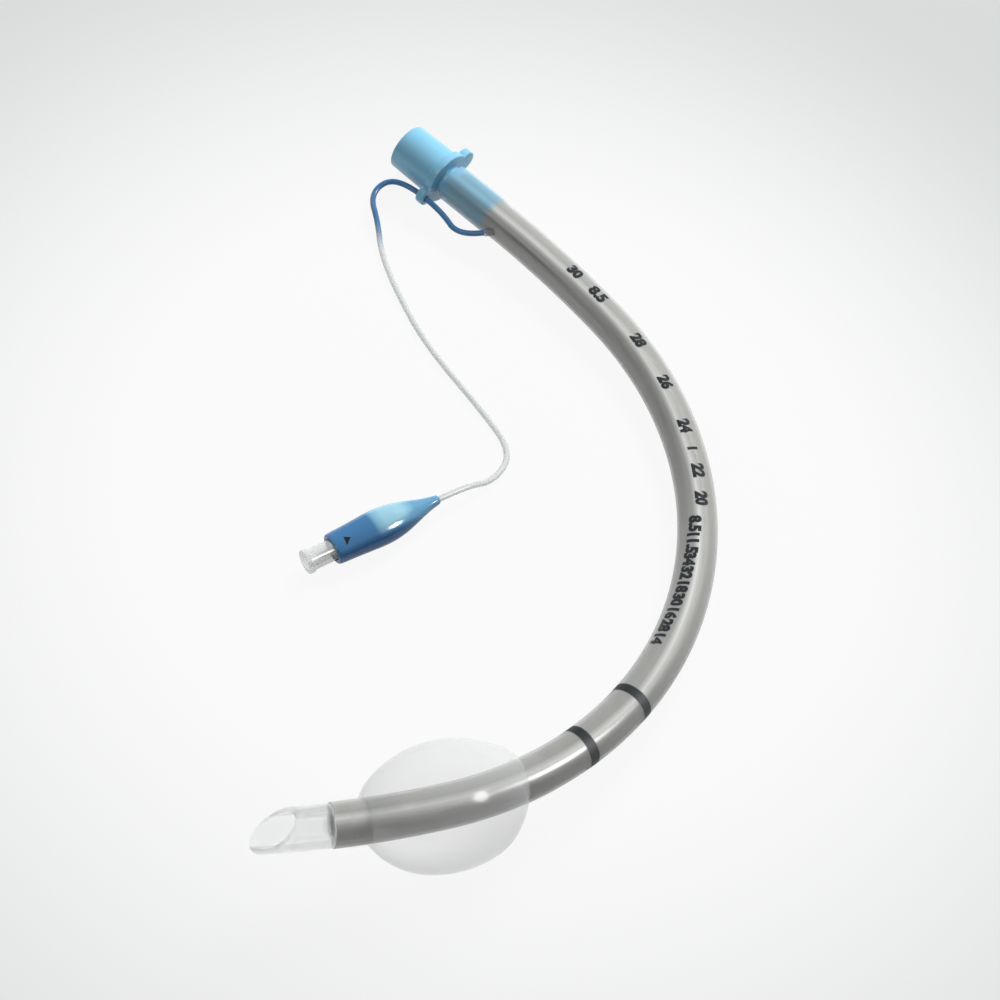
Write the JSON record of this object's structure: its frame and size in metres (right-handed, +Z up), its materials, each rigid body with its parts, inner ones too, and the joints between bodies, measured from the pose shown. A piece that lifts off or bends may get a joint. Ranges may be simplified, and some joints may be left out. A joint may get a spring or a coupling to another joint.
{
  "type": "endotracheal tube",
  "caption": "Curved wire-reinforced breathing tube with an eared connector, an inflated cuff near its bevelled tip, and a thin line to a pilot balloon with a check valve.",
  "frame": {"origin": "centre of the footprint on the floor, measured without the inflation line, balloon and valve", "axes": "+Z up; +Y towards the connector; +X towards the outside of the tube's curve"},
  "size_m": [0.1256, 0.2512, 0.0335],
  "materials": {
    "connector_plastic": "smooth moulded",
    "tube_wall": "soft translucent wall",
    "wire_steel": "drawn wire",
    "tip_plastic": "clear soft plastic",
    "cuff_film": "thin clear film",
    "line_plastic": "clear soft line",
    "balloon_film": "blue film",
    "valve_plastic": "clear rigid plastic",
    "plunger_plastic": "moulded",
    "spring_steel": "drawn wire"
  },
  "bodies": {
    "airway": {"connector": "connector_plastic", "tube": "tube_wall", "reinforcing_coil": "wire_steel", "soft_tip": "tip_plastic", "cuff": "cuff_film", "inflation_line": "line_plastic", "pilot_balloon": "balloon_film", "valve_body": "valve_plastic", "valve_spring": "spring_steel", "spring_retainer": "plunger_plastic"},
    "plunger": {"valve_plunger": "plunger_plastic"}
  },
  "joints": [
    {"name": "valve_press", "type": "slide", "parent": "airway", "child": "plunger", "axis": [0.8387, 0.5446, 0], "range_m": [0, 0.002], "stiffness_N_per_m": 200, "deforming": ["valve_spring"]}
  ]
}
